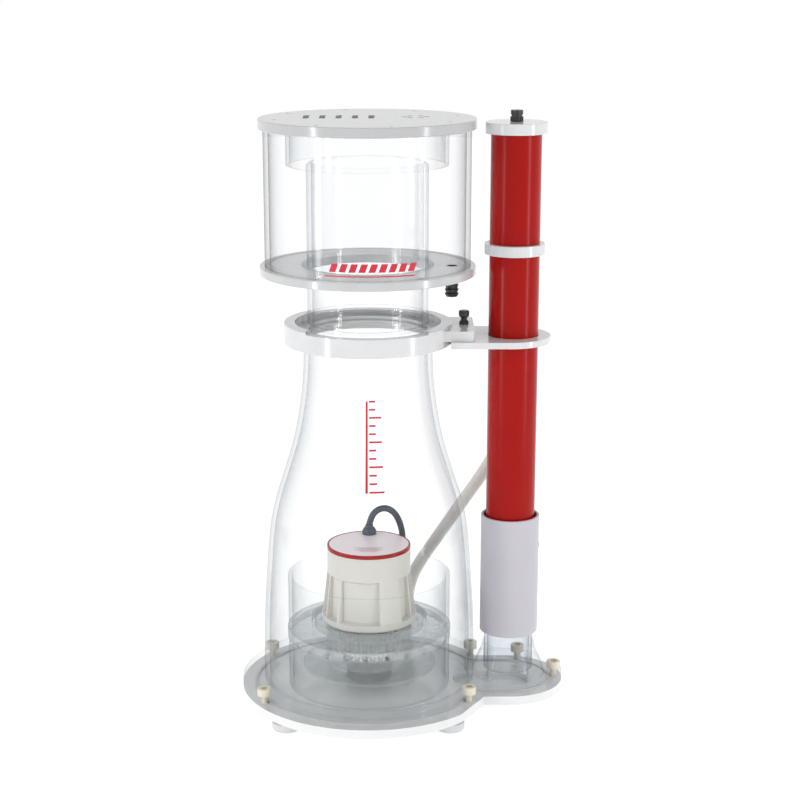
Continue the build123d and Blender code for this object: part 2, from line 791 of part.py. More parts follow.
with BuildPart() as air_elbow_nut:
    with BuildSketch(radial_plane(ELBOW_DIR, 97.5, ELBOW_Z)):
        RegularPolygon(10, 6)
        Circle(ELBOW_R, mode=Mode.SUBTRACT)
    extrude(amount=4)

REGULATOR_BODY_R = 7.6
REGULATOR_TOP = 398.0
REGULATOR_BORE = 2.2
air_regulator = turned(
    Plane(origin=(*REGULATOR, 0), x_dir=(1, 0, 0), z_dir=(0, -1, 0)),
    Axis((*REGULATOR, 0), (0, 0, 1)),
    [
        (0, REGULATOR_BOTTOM),
        (HOSE_R, REGULATOR_BOTTOM),
        (REGULATOR_BODY_R, REGULATOR_BOTTOM + 3),
        (REGULATOR_BODY_R, 372.0),
        (6.2, 374.0),
        (6.2, 378.0),
        (REGULATOR_BODY_R, 380.0),
        (REGULATOR_BODY_R, BRACKET_BOTTOM),
        (REGULATOR_R, BRACKET_BOTTOM),
        (REGULATOR_R, REGULATOR_TOP),
        (REGULATOR_BORE, REGULATOR_TOP),
        (REGULATOR_BORE, REGULATOR_TOP - 30),
        (0, REGULATOR_TOP - 30),
    ],
)
with BuildPart() as regulator_nut:
    with BuildSketch(Plane(origin=(*REGULATOR, LUG_BOTTOM))):
        Circle(8.2)
        with PolarLocations(8.2, 20):
            Circle(0.6, mode=Mode.SUBTRACT)
        Circle(REGULATOR_R, mode=Mode.SUBTRACT)
    extrude(amount=5)

# ================= outlet pipe =================

BELL_R = 38.0
with BuildPart() as outlet_bell:
    add(
        turned(
            PIPE_SIDE,
            PIPE_AXIS,
            [
                (RISER_BORE, FLANGE_TOP),
                (BELL_R, FLANGE_TOP),
                (BELL_R, FLANGE_TOP + 2.5),
                (36.4, FLANGE_TOP + 8),
                (33.4, FLANGE_TOP + 15),
                (29.6, FLANGE_TOP + 24),
                (27.6, FLANGE_TOP + 31),
                (27.0, FLANGE_TOP + 35),
                (RISER_R, FLANGE_TOP + 35),
                (RISER_R, FLANGE_TOP + 7),
                (RISER_BORE, FLANGE_TOP + 7),
            ],
        ).part
    )
    add(bell(0).part, mode=Mode.SUBTRACT)

RISER_TOP = 128.0
riser_tube = tube(pipe_plane(FLANGE_TOP + 7), RISER_R, RISER_BORE, RISER_TOP - FLANGE_TOP - 7)

KNOB_DIR = Vector(1, 0, 0).rotate(Axis.Z, 45)
KNOB_Z = 161.0
KNOB_STEM = 3.0


def knob_plane(distance):
    """A plane across the sleeve knob's own axis, at a distance from the pipe's axis."""
    return Plane(origin=Vector(PIPE_X, 0, KNOB_Z) + KNOB_DIR * distance, z_dir=KNOB_DIR)


with BuildPart() as level_sleeve:
    with BuildSketch(pipe_plane(SLEEVE_BOTTOM)):
        Circle(SLEEVE_R)
        Circle(SLEEVE_BORE, mode=Mode.SUBTRACT)
    extrude(amount=SLEEVE_TOP - SLEEVE_BOTTOM)
    rims = level_sleeve.faces().filter_by(Axis.Z).edges()
    chamfer(rims, 0.4)
    with BuildSketch(knob_plane(SLEEVE_BORE - 2)):
        Circle(KNOB_STEM + RUN)
    extrude(amount=8, mode=Mode.SUBTRACT)

with BuildPart() as sleeve_knob:
    with BuildSketch(knob_plane(26.2)):
        Circle(KNOB_STEM)
    extrude(amount=5)
    with BuildSketch(knob_plane(SLEEVE_R + 0.4)):
        Circle(8.4)
        with PolarLocations(8.4, 16):
            Circle(0.8, mode=Mode.SUBTRACT)
    extrude(amount=7)

WEB = 3.0  # the solid floor inside the middle ring
MID_RING_H = 10.6
WEB_Z = MID_RING_Z + (MID_RING_H - WEB) / 2
lower_pipe = tube(pipe_plane(PIPE_BOTTOM), PIPE_R, PIPE_R - PIPE_WALL, WEB_Z - PIPE_BOTTOM)
upper_pipe = tube(pipe_plane(WEB_Z + WEB), PIPE_R, PIPE_R - PIPE_WALL, PIPE_TOP - WEB_Z - WEB)
mid_ring = turned(
    PIPE_SIDE,
    PIPE_AXIS,
    [
        (PIPE_R, MID_RING_Z),
        (29.7, MID_RING_Z),
        (30.1, MID_RING_Z + 0.4),
        (30.1, MID_RING_Z + MID_RING_H - 0.4),
        (29.7, MID_RING_Z + MID_RING_H),
        (PIPE_R, MID_RING_Z + MID_RING_H),
        (PIPE_R, WEB_Z + WEB),
        (0, WEB_Z + WEB),
        (0, WEB_Z),
        (PIPE_R, WEB_Z),
    ],
)

STUB_THREAD = 4.0
CAP_R = 30.3
pipe_cap = turned(
    PIPE_SIDE,
    PIPE_AXIS,
    [
        (STUB_THREAD + RUN, PIPE_TOP - 10),
        (PIPE_R - PIPE_WALL, PIPE_TOP - 10),
        (PIPE_R - PIPE_WALL, PIPE_TOP),
        (CAP_R, PIPE_TOP),
        (CAP_R, CAP_TOP - 0.5),
        (CAP_R - 0.5, CAP_TOP),
        (STUB_THREAD + RUN, CAP_TOP),
    ],
)

STUB_TOP = 611.0
STUB_BORE = 1.8
STUB_R = 6.4
with BuildPart() as air_stub:
    with BuildSketch(pipe_plane(CAP_TOP + GAP)):
        Circle(STUB_R)
        with PolarLocations(STUB_R, 18):
            Circle(0.5, mode=Mode.SUBTRACT)
    extrude(amount=4.6)
    with BuildSketch(pipe_plane(CAP_TOP + GAP)):
        Circle(STUB_R - 1.2)
    extrude(amount=STUB_TOP - CAP_TOP - GAP)
    with BuildSketch(pipe_plane(STUB_TOP - 4.2)):
        Circle(STUB_R - 0.4)
    extrude(amount=4.2)
    with BuildSketch(pipe_plane(PIPE_TOP - 8)):
        Circle(STUB_THREAD)
    extrude(amount=CAP_TOP - PIPE_TOP + 9)
    with BuildSketch(pipe_plane(PIPE_TOP - 8)):
        Circle(STUB_BORE)
    extrude(amount=40, mode=Mode.SUBTRACT)

# ================= collection cup =================

NECK_BORE = NECK_R - WALL
RING_SEAT = 402.0
PLUG_R = SHELL_NECK - WALL - 0.7
O_RING_Z = 391.0
O_RING_R = 1.5


def neck_seal(room):
    """The neck's O-ring, or with room added all round, its groove."""
    with BuildPart() as made:
        with BuildSketch(BODY_SIDE):
            with Locations((PLUG_R + 0.5 - O_RING_R, O_RING_Z)):
                Circle(O_RING_R + room)
        revolve(axis=BODY_AXIS)
    return made


neck_o_ring = neck_seal(0)

with BuildPart() as neck_twist_ring:
    add(
        turned(
            BODY_SIDE,
            BODY_AXIS,
            [
                (NECK_BORE, 386.0),
                (PLUG_R - 1, 386.0),
                (PLUG_R, 387.0),
                (PLUG_R, LEDGE_Z + GAP),
                (RECESS_R - 0.4, LEDGE_Z + GAP),
                (RECESS_R - 0.4, 401.4),
                (RECESS_R - 0.9, 401.9),
                (66.4, 402.6),
                (65.2, 407.2),
                (64.6, 407.8),
                (NECK_R, 407.8),
                (NECK_R, RING_SEAT),
                (NECK_BORE, RING_SEAT),
            ],
        ).part
    )
    add(neck_seal(SEAM).part, mode=Mode.SUBTRACT)

with BuildPart() as neck_tube:
    with BuildSketch(body_plane(RING_SEAT)):
        Circle(NECK_R)
        Circle(NECK_BORE, mode=Mode.SUBTRACT)
    extrude(amount=NECK_TOP - RING_SEAT)
    rim = neck_tube.faces().sort_by(Axis.Z)[-1].outer_wire().edges()
    chamfer(rim, 3.0)

DRAIN = (BODY_X + 83.3, -7.0)
DRAIN_HOLE = 6.0
with BuildPart() as cup_floor:
    with BuildSketch(body_plane(CUP_BOTTOM)):
        Circle(CUP_PLATE_R)
        Circle(NECK_R + SEAM, mode=Mode.SUBTRACT)
        with Locations((DRAIN[0] - BODY_X, DRAIN[1])):
            Circle(DRAIN_HOLE, mode=Mode.SUBTRACT)
    extrude(amount=CUP_FLOOR - CUP_BOTTOM)
    chamfer(cup_floor.edges().filter_by(GeomType.CIRCLE).group_by(SortBy.RADIUS)[-1], 0.5)

neck_weld_ring = turned(
    BODY_SIDE,
    BODY_AXIS,
    [
        (NECK_R, CUP_FLOOR + SEAM),
        (NECK_R + 5.5, CUP_FLOOR + SEAM),
        (NECK_R + 5.0, CUP_FLOOR + 1.6),
        (NECK_R, CUP_FLOOR + 4.5),
    ],
)

WALL_Z = CUP_FLOOR + SEAM
cup_wall = tube(body_plane(WALL_Z), CUP_R, CUP_R - WALL, LID_BOTTOM + 2 - WALL_Z)

DRAIN_BORE = 3.6
DRAIN_MOUTH = 4.6
DRAIN_TIP = 429.0
drain_fitting = turned(
    Plane(origin=(*DRAIN, 0), x_dir=(1, 0, 0), z_dir=(0, -1, 0)),
    Axis((*DRAIN, 0), (0, 0, 1)),
    [
        (DRAIN_BORE, DRAIN_TIP),
        (5.4, DRAIN_TIP),
        (7.2, DRAIN_TIP + 3.2),
        (5.6, DRAIN_TIP + 3.4),
        (7.0, DRAIN_TIP + 7.6),
        (5.6, DRAIN_TIP + 7.8),
        (6.8, DRAIN_TIP + 12.0),
        (5.6, DRAIN_TIP + 12.2),
        (5.6, CUP_BOTTOM - 5),
        (8.6, CUP_BOTTOM - 5),
        (8.6, CUP_BOTTOM),
        (DRAIN_HOLE, CUP_BOTTOM),
        (DRAIN_HOLE, CUP_FLOOR),
        (DRAIN_MOUTH, CUP_FLOOR),
        (DRAIN_MOUTH, CUP_BOTTOM - 1),
        (DRAIN_BORE, CUP_BOTTOM - 1),
    ],
)

LID_R = 106.8
LID_HOLES = 8
VENT_SLOTS = 5
SLOT_GAP = 16.0
with BuildPart() as cup_lid:
    with BuildSketch(body_plane(LID_BOTTOM)):
        Circle(LID_R)
    extrude(amount=LID_TOP - LID_BOTTOM)
    chamfer(cup_lid.edges(), 0.6)
    with BuildSketch(body_plane(LID_BOTTOM)):
        Circle(CUP_R + 0.4)
        Circle(CUP_R - WALL - 0.4, mode=Mode.SUBTRACT)
    extrude(amount=2 + GAP, mode=Mode.SUBTRACT)
    with BuildSketch(body_plane(LID_BOTTOM)):
        with PolarLocations(92, LID_HOLES, start_angle=15):
            Circle(1.9)
        with Locations((-28, 10)):
            with GridLocations(SLOT_GAP, 1, VENT_SLOTS, 1):
                SlotOverall(36, 6, rotation=90)
        with Locations((47, 10)):
            with PolarLocations(11, 6):
                Circle(3)
    extrude(amount=LID_TOP - LID_BOTTOM, mode=Mode.SUBTRACT)

LID_RING_R = 80.2
LID_RING_BOTTOM = 558.4
lid_ring = tube(
    body_plane(LID_RING_BOTTOM), LID_RING_R, LID_RING_R - 3.8, LID_BOTTOM - SEAM - LID_RING_BOTTOM
)

# ================= files =================

PIECES = {
    "base_plate": base_plate,
    "base_o_ring": base_o_ring,
    "base_flange": base_flange,
    "base_screws": base_screws,
    "feet": feet,
    "body_shell": body_shell,
    "body_collar": body_collar,
    "pipe_bracket": pipe_bracket,
    "bracket_thumbscrew": bracket_thumbscrew,
    "diffuser_lower": diffuser_lower,
    "diffuser_ring": diffuser_ring,
    "bubble_plate": bubble_plate,
    "volute": volute,
    "intake_union_nut": intake_union_nut,
    "intake_strainer": intake_strainer,
    "needle_wheel": needle_wheel,
    "rotor_magnet": rotor_magnet,
    "rotor_shaft": rotor_shaft,
    "shaft_spider": shaft_spider,
    "motor_housing": motor_housing,
    "motor_seat": motor_seat,
    "motor_cap": motor_cap,
    "motor_label": motor_label,
    "motor_gland": motor_gland,
    "pump_lead": pump_lead,
    "lead_gland": lead_gland,
    "lead_gland_nut": lead_gland_nut,
    "air_elbow": air_elbow,
    "air_elbow_nut": air_elbow_nut,
    "air_hose": air_hose,
    "air_regulator": air_regulator,
    "regulator_nut": regulator_nut,
    "outlet_bell": outlet_bell,
    "riser_tube": riser_tube,
    "level_sleeve": level_sleeve,
    "sleeve_knob": sleeve_knob,
    "lower_pipe": lower_pipe,
    "mid_ring": mid_ring,
    "upper_pipe": upper_pipe,
    "pipe_cap": pipe_cap,
    "air_stub": air_stub,
    "neck_twist_ring": neck_twist_ring,
    "neck_o_ring": neck_o_ring,
    "neck_tube": neck_tube,
    "cup_floor": cup_floor,
    "neck_weld_ring": neck_weld_ring,
    "cup_wall": cup_wall,
    "drain_fitting": drain_fitting,
    "cup_lid": cup_lid,
    "lid_ring": lid_ring,
    "supply_lead": supply_lead,
    "supply_coil": supply_coil,
    "plug": plug,
}
for name, piece in PIECES.items():
    save(piece, name)
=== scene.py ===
"""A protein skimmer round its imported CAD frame: camera, cords, printed marks, materials and studio light."""

import json
import math

import bpy
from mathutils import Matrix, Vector

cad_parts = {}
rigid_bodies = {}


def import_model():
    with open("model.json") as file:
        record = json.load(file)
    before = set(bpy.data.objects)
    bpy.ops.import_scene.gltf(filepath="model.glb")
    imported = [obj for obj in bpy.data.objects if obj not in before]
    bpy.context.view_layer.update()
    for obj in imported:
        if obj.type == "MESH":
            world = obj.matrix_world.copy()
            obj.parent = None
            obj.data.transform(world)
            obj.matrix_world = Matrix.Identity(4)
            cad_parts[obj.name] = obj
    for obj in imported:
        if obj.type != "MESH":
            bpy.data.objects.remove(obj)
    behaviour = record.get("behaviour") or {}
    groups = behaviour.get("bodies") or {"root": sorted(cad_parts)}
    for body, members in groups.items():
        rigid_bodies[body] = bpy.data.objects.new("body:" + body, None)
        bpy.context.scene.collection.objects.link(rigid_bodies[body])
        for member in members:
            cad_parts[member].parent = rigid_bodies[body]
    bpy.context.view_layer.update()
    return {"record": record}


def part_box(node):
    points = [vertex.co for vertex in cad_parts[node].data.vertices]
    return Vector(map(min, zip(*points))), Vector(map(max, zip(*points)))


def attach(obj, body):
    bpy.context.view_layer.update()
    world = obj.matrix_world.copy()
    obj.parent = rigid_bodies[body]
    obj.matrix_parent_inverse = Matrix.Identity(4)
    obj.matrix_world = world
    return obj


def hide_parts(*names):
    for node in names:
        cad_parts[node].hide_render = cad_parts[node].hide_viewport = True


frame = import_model()
MM = 0.001


def middle(node):
    """The centre of a CAD node's box."""
    low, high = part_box(node)
    return (Vector(low) + Vector(high)) / 2


def top(node):
    """The height of a CAD node's highest point."""
    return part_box(node)[1][2]


BODY = middle("cup_floor").x  # the body's axis


# ================= camera =================

CAMERA_ASIDE = -0.0085
CAMERA_DISTANCE = 1.788
CAMERA_HEIGHT = 0.759
LOOK_DOWN = 15.02  # degrees
LENS = 81.83
SHIFT = (0.0066, 0.05)


def make_camera():
    data = bpy.data.cameras.new("camera")
    camera = bpy.data.objects.new("camera", data)
    bpy.context.scene.collection.objects.link(camera)
    camera.location = (CAMERA_ASIDE, -CAMERA_DISTANCE, CAMERA_HEIGHT)
    camera.rotation_euler = (math.radians(90 - LOOK_DOWN), 0, 0)
    data.lens = LENS
    data.shift_x, data.shift_y = SHIFT
    data.clip_end = 20
    bpy.context.scene.camera = camera


make_camera()

# ================= cords =================

GLAND_Y = 33.0  # the motor's gland, behind the body's axis
LEAD_Z = 116.0
LEAD_R = 3.4
HOSE_R = 6.6
BOOT_END = 136.0  # where the wall gland's boot lets the lead go
ELBOW_REACH = 119.5
ELBOW_TURN = math.radians(70)
ELBOW = (ELBOW_REACH * math.cos(ELBOW_TURN), ELBOW_REACH * math.sin(ELBOW_TURN), 68.0)

PUMP_LEAD = [
    (0.0, GLAND_Y, 178.5),
    (2.0, GLAND_Y + 0.5, 187.0),
    (8.0, GLAND_Y + 2.0, 194.0),
    (17.0, GLAND_Y + 4.0, 196.0),
    (25.5, GLAND_Y + 6.5, 191.0),
    (31.0, GLAND_Y + 9.5, 181.0),
    (34.5, GLAND_Y + 13.0, 168.0),
    (35.5, GLAND_Y + 18.0, 153.0),
    (33.0, GLAND_Y + 25.0, 138.5),
    (26.5, GLAND_Y + 33.5, 126.5),
    (16.5, GLAND_Y + 42.5, 119.0),
    (7.0, GLAND_Y + 52.0, LEAD_Z + 0.7),
    (0.0, 97.0, LEAD_Z),
]
AIR_HOSE = [
    ELBOW,
    (42.5, 111.6, 82.0),
    (47.5, 109.3, 98.5),
    (56.0, 104.8, 116.0),
    (67.0, 97.7, 135.0),
    (79.0, 89.0, 156.0),
    (92.0, 80.0, 178.5),
    (105.0, 70.5, 201.5),
    (117.0, 61.0, 222.5),
    (128.0, 52.5, 243.5),
    (137.0, 45.5, 266.5),
    (143.5, 40.0, 291.5),
    (147.0, 37.0, 316.5),
    (148.0, 35.5, 340.0),
]
SUPPLY_LEAD = [
    (0.0, BOOT_END, LEAD_Z),
    (-1.0, 148.0, LEAD_Z - 1.0),
    (-3.0, 160.0, 111.5),
    (-6.5, 170.5, 104.5),
    (-11.5, 178.5, 93.5),
    (-17.0, 184.5, 80.0),
    (-23.0, 188.5, 65.5),
    (-29.5, 192.0, 50.5),
    (-35.5, 196.5, 36.0),
    (-40.5, 202.5, 22.5),
    (-44.0, 212.0, 11.5),
    (-45.0, 223.0, 5.2),
    (-45.0, 234.0, 3.6),
]
COIL = (-3.0, 232.0)
TURN_POINTS = 16
TURN_RADII = (42.3, 35.3, 28.3)
LAYERS = (3.6, 10.6)
PLUG_TAIL = (COIL[0] - 30.5, COIL[1] + 33.0, 21.3)


def coil_points():
    """Turns that run inwards on the floor, then outwards on top of them, and up to the plug."""
    turns = [(radius, LAYERS[0]) for radius in TURN_RADII]
    turns += [(radius, LAYERS[1]) for radius in reversed(TURN_RADII)]
    reach = 1 / math.cos(math.pi / TURN_POINTS)
    points = []
    for radius, height in turns:
        for step in range(TURN_POINTS):
            turned = math.pi - 2 * math.pi * step / TURN_POINTS
            x = COIL[0] + radius * reach * math.cos(turned)
            y = COIL[1] + radius * reach * math.sin(turned)
            points.append((x, y, height))
    points.pop(0)  # the lead joins the first turn in its place
    points.append((COIL[0] - 44.0, COIL[1] + 2.0, 12.5))
    points.append((COIL[0] - 44.5, COIL[1] + 18.0, 16.5))
    points.append((COIL[0] - 41.5, COIL[1] + 29.5, 20.0))
    points.append(PLUG_TAIL)
    return points


def cord(name, points, radius, nodes):
    """A round cord on one smooth curve that the route's points steer."""
    data = bpy.data.curves.new(name, "CURVE")
    data.dimensions = "3D"
    data.bevel_depth = 1.0
    data.bevel_resolution = 5
    data.use_fill_caps = True
    data.resolution_u = 6
    spline = data.splines.new("NURBS")
    spline.points.add(len(points) - 1)
    for point, (x, y, z) in zip(spline.points, points):
        point.co = (BODY + x * MM, y * MM, z * MM, 1)
        point.radius = radius * MM
    spline.order_u = 3
    spline.use_endpoint_u = True
    piece = bpy.data.objects.new(name, data)
    bpy.context.scene.collection.objects.link(piece)
    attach(piece, "skimmer")
    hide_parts(*nodes)
    return piece


pump_cord = cord("pump_cord", PUMP_LEAD, LEAD_R, ["pump_lead"])
hose = cord("air_tube", AIR_HOSE, HOSE_R, ["air_hose"])
supply_cord = cord(
    "supply_cord",
    SUPPLY_LEAD + coil_points(),
    LEAD_R,
    ["supply_lead", "supply_coil"],
)
CORD_SLOTS = ((pump_cord, "lead_pvc"), (hose, "hose_silicone"), (supply_cord, "lead_pvc"))

# ================= materials =================


def new_material(name):
    """An empty node material, with its tree and its output."""
    material = bpy.data.materials.new(name)
    material.use_nodes = True
    tree = material.node_tree
    tree.nodes.clear()
    return material, tree, tree.nodes.new("ShaderNodeOutputMaterial")


def noise(tree, scale, detail=3.0):
    """Smooth noise in the object's own metres, of about scale lumps a metre."""
    place = tree.nodes.new("ShaderNodeTexCoord")
    texture = tree.nodes.new("ShaderNodeTexNoise")
    texture.inputs["Scale"].default_value = scale
    texture.inputs["Detail"].default_value = detail
    tree.links.new(place.outputs["Object"], texture.inputs["Vector"])
    return texture.outputs["Fac"]


def spread(tree, value, low, high):
    """value, from 0.3 to 0.7, spread to low to high."""
    change = tree.nodes.new("ShaderNodeMapRange")
    change.inputs["From Min"].default_value = 0.3
    change.inputs["From Max"].default_value = 0.7
    change.inputs["To Min"].default_value = low
    change.inputs["To Max"].default_value = high
    tree.links.new(value, change.inputs["Value"])
    return change.outputs["Result"]


DRIFT = 35  # lumps a metre in a plastic's colour
WANDER = 90  # and in its roughness


def plastic(name, colour, shade, rough, grain, depth, coat=0.0, specular=0.5):
    """An opaque plastic: colour drifts to shade, roughness wanders, and a grain stands up by depth."""
    material, tree, output = new_material(name)
    shader = tree.nodes.new("ShaderNodeBsdfPrincipled")
    mix = tree.nodes.new("ShaderNodeMix")
    mix.data_type = "RGBA"
    mix.inputs["A"].default_value = (*colour, 1)
    mix.inputs["B"].default_value = (*shade, 1)
    tree.links.new(spread(tree, noise(tree, DRIFT), 0, 1), mix.inputs["Factor"])
    tree.links.new(mix.outputs["Result"], shader.inputs["Base Color"])
    tree.links.new(spread(tree, noise(tree, WANDER), rough[0], rough[1]), shader.inputs["Roughness"])
    bump = tree.nodes.new("ShaderNodeBump")
    bump.inputs["Distance"].default_value = depth
    bump.inputs["Strength"].default_value = 0.3
    tree.links.new(noise(tree, grain, 2), bump.inputs["Height"])
    tree.links.new(bump.outputs["Normal"], shader.inputs["Normal"])
    shader.inputs["Coat Weight"].default_value = coat
    shader.inputs["Coat Roughness"].default_value = 0.08
    shader.inputs["Specular IOR Level"].default_value = specular
    tree.links.new(shader.outputs["BSDF"], output.inputs["Surface"])
    return material


SHEEN = (0.015, 0.3)  # an acrylic's reflection, face on and at its edges
FROST_GRAIN = 140
HAZE = (0.8, 0.82, 0.83)


def acrylic(name, clear, edge, fall=3.0, gloss=0.02, frost=0.0):
    """Cast acrylic: see-through face on, greyer edge on, with a sharp sheen and, where frosted, a haze."""
    material, tree, output = new_material(name)
    weight = tree.nodes.new("ShaderNodeLayerWeight")
    weight.inputs["Blend"].default_value = 0.5
    power = tree.nodes.new("ShaderNodeMath")
    power.operation = "POWER"
    power.inputs[1].default_value = fall
    tree.links.new(weight.outputs["Facing"], power.inputs[0])
    mix = tree.nodes.new("ShaderNodeMix")
    mix.data_type = "RGBA"
    mix.inputs["A"].default_value = (*clear, 1)
    mix.inputs["B"].default_value = (*edge, 1)
    tree.links.new(power.outputs["Value"], mix.inputs["Factor"])
    through = tree.nodes.new("ShaderNodeBsdfTransparent")
    tree.links.new(mix.outputs["Result"], through.inputs["Color"])
    sheen = tree.nodes.new("ShaderNodeBsdfGlossy")
    sheen.inputs["Roughness"].default_value = gloss
    share = tree.nodes.new("ShaderNodeMapRange")
    share.inputs["To Min"].default_value, share.inputs["To Max"].default_value = SHEEN
    tree.links.new(power.outputs["Value"], share.inputs["Value"])
    join = tree.nodes.new("ShaderNodeMixShader")
    tree.links.new(share.outputs["Result"], join.inputs["Fac"])
    tree.links.new(through.outputs["BSDF"], join.inputs[1])
    tree.links.new(sheen.outputs["BSDF"], join.inputs[2])
    surface = join
    if frost:
        haze = tree.nodes.new("ShaderNodeBsdfDiffuse")
        haze.inputs["Color"].default_value = (*HAZE, 1)
        surface = tree.nodes.new("ShaderNodeMixShader")
        tree.links.new(spread(tree, noise(tree, FROST_GRAIN), frost * 0.7, frost), surface.inputs["Fac"])
        tree.links.new(join.outputs["Shader"], surface.inputs[1])
        tree.links.new(haze.outputs["BSDF"], surface.inputs[2])
    tree.links.new(surface.outputs["Shader"], output.inputs["Surface"])
    return material


ACRYLICS = {
    "clear_acrylic": dict(clear=(0.994, 0.997, 0.997), edge=(0.73, 0.75, 0.77)),
    "frosted_acrylic": dict(
        clear=(0.97, 0.98, 0.98), edge=(0.55, 0.58, 0.6), fall=2.0, gloss=0.08, frost=0.16
    ),
    "riser_clear": dict(clear=(0.93, 0.94, 0.955), edge=(0.6, 0.63, 0.67)),
}
PLASTICS = {
    "base_acrylic": dict(
        colour=(0.74, 0.75, 0.75),
        shade=(0.7, 0.71, 0.72),
        rough=(0.15, 0.25),
        grain=700,
        depth=0.00002,
        coat=0.4,
    ),
    "grey_acrylic": dict(
        colour=(0.62, 0.625, 0.635),
        shade=(0.58, 0.59, 0.6),
        rough=(0.14, 0.24),
        grain=700,
        depth=0.00001,
        coat=0.3,
    ),
    "smoke_acrylic": dict(
        colour=(0.5, 0.51, 0.515),
        shade=(0.46, 0.47, 0.48),
        rough=(0.14, 0.24),
        grain=700,
        depth=0.00001,
        coat=0.3,
    ),
    "red_acrylic": dict(
        colour=(0.32, 0.0035, 0.002),
        shade=(0.305, 0.003, 0.0018),
        rough=(0.2, 0.23),
        grain=500,
        depth=0.000003,
        specular=0.14,
    ),
    "sleeve_pvc": dict(
        colour=(0.475, 0.46, 0.505),
        shade=(0.465, 0.45, 0.495),
        rough=(0.3, 0.32),
        grain=400,
        depth=0.000002,
        specular=0.3,
    ),
    "ivory_nylon": dict(
        colour=(0.72, 0.68, 0.56), shade=(0.66, 0.61, 0.49), rough=(0.4, 0.5), grain=1500, depth=0.00005
    ),
    "black_plastic": dict(
        colour=(0.016, 0.016, 0.018), shade=(0.03, 0.03, 0.032), rough=(0.3, 0.45), grain=1800, depth=0.00008
    ),
    "motor_plastic": dict(
        colour=(0.6, 0.585, 0.545), shade=(0.56, 0.545, 0.5), rough=(0.38, 0.5), grain=1500, depth=0.00008
    ),
    "nut_plastic": dict(
        colour=(0.11, 0.11, 0.12), shade=(0.15, 0.15, 0.16), rough=(0.4, 0.5), grain=1500, depth=0.00008
    ),
    "rotor_plastic": dict(
        colour=(0.7, 0.7, 0.66), shade=(0.66, 0.66, 0.62), rough=(0.3, 0.4), grain=1200, depth=0.00004
    ),
    "magnet": dict(
        colour=(0.06, 0.06, 0.065), shade=(0.1, 0.1, 0.1), rough=(0.3, 0.45), grain=2500, depth=0.00006
    ),
    "shaft_ceramic": dict(
        colour=(0.8, 0.8, 0.77),
        shade=(0.76, 0.76, 0.73),
        rough=(0.1, 0.2),
        grain=900,
        depth=0.00001,
        coat=0.3,
    ),
    "seal_silicone": dict(
        colour=(0.6, 0.61, 0.62), shade=(0.55, 0.56, 0.57), rough=(0.4, 0.5), grain=1500, depth=0.00004
    ),
    "label_print": dict(
        colour=(0.86, 0.79, 0.83), shade=(0.83, 0.75, 0.79), rough=(0.3, 0.4), grain=1500, depth=0.00001
    ),
    "feet_rubber": dict(
        colour=(0.6, 0.61, 0.62), shade=(0.54, 0.55, 0.56), rough=(0.45, 0.6), grain=900, depth=0.00008
    ),
    "lead_pvc": dict(
        colour=(0.045, 0.058, 0.08), shade=(0.06, 0.075, 0.1), rough=(0.4, 0.5), grain=1200, depth=0.00006
    ),
    "hose_silicone": dict(
        colour=(0.62, 0.6, 0.555),
        shade=(0.56, 0.54, 0.5),
        rough=(0.3, 0.4),
        grain=700,
        depth=0.00004,
        coat=0.2,
    ),
}
FINISHES = {slot: acrylic(slot, **look) for slot, look in ACRYLICS.items()}
FINISHES |= {slot: plastic(slot, **look) for slot, look in PLASTICS.items()}
cup_finish = acrylic("cup_acrylic", clear=(0.99, 0.992, 0.995), edge=(0.4, 0.415, 0.43), fall=5.0)
# painted shade: the lid's grey is set darker than the acrylic's own grey, standing in for the dark that its
# top reflects
lid_painted_shade_finish = plastic(
    "lid_acrylic_painted_shade",
    colour=(0.44, 0.447, 0.456),
    shade=(0.425, 0.432, 0.442),
    rough=(0.17, 0.2),
    grain=700,
    depth=0.000002,
    coat=0.2,
)
print_red = plastic(
    "print_red",
    colour=(0.55, 0.012, 0.04),
    shade=(0.48, 0.01, 0.03),
    rough=(0.3, 0.4),
    grain=2000,
    depth=0.00001,
)
print_rose = plastic(
    "print_rose",
    colour=(0.56, 0.3, 0.29),
    shade=(0.5, 0.25, 0.25),
    rough=(0.35, 0.45),
    grain=2000,
    depth=0.00001,
)

for part in frame["record"]["subparts"]:
    node = bpy.data.objects[part["node"]]
    node.data.materials.clear()
    node.data.materials.append(FINISHES[part["material_slot"]])
bpy.data.objects["cup_wall"].data.materials[0] = cup_finish
bpy.data.objects["cup_lid"].data.materials[0] = lid_painted_shade_finish
for piece, slot in CORD_SLOTS:
    piece.data.materials.append(FINISHES[slot])

# ================= printed marks =================

PRINT = 0.12 * MM  # how far a print stands off its wall
OUTSIDE = 0.3  # a distance from the axis that clears the object
bpy.context.view_layer.update()


def on_surface(node, angle, height):
    """The point where a line in from the front, at an angle from it, meets a CAD node."""
    out = Vector((math.sin(angle), -math.cos(angle), 0))
    start = Vector((BODY, 0, height)) + out * OUTSIDE
    _, place, normal, _ = bpy.data.objects[node].ray_cast(start, -out)
    return place + normal * PRINT


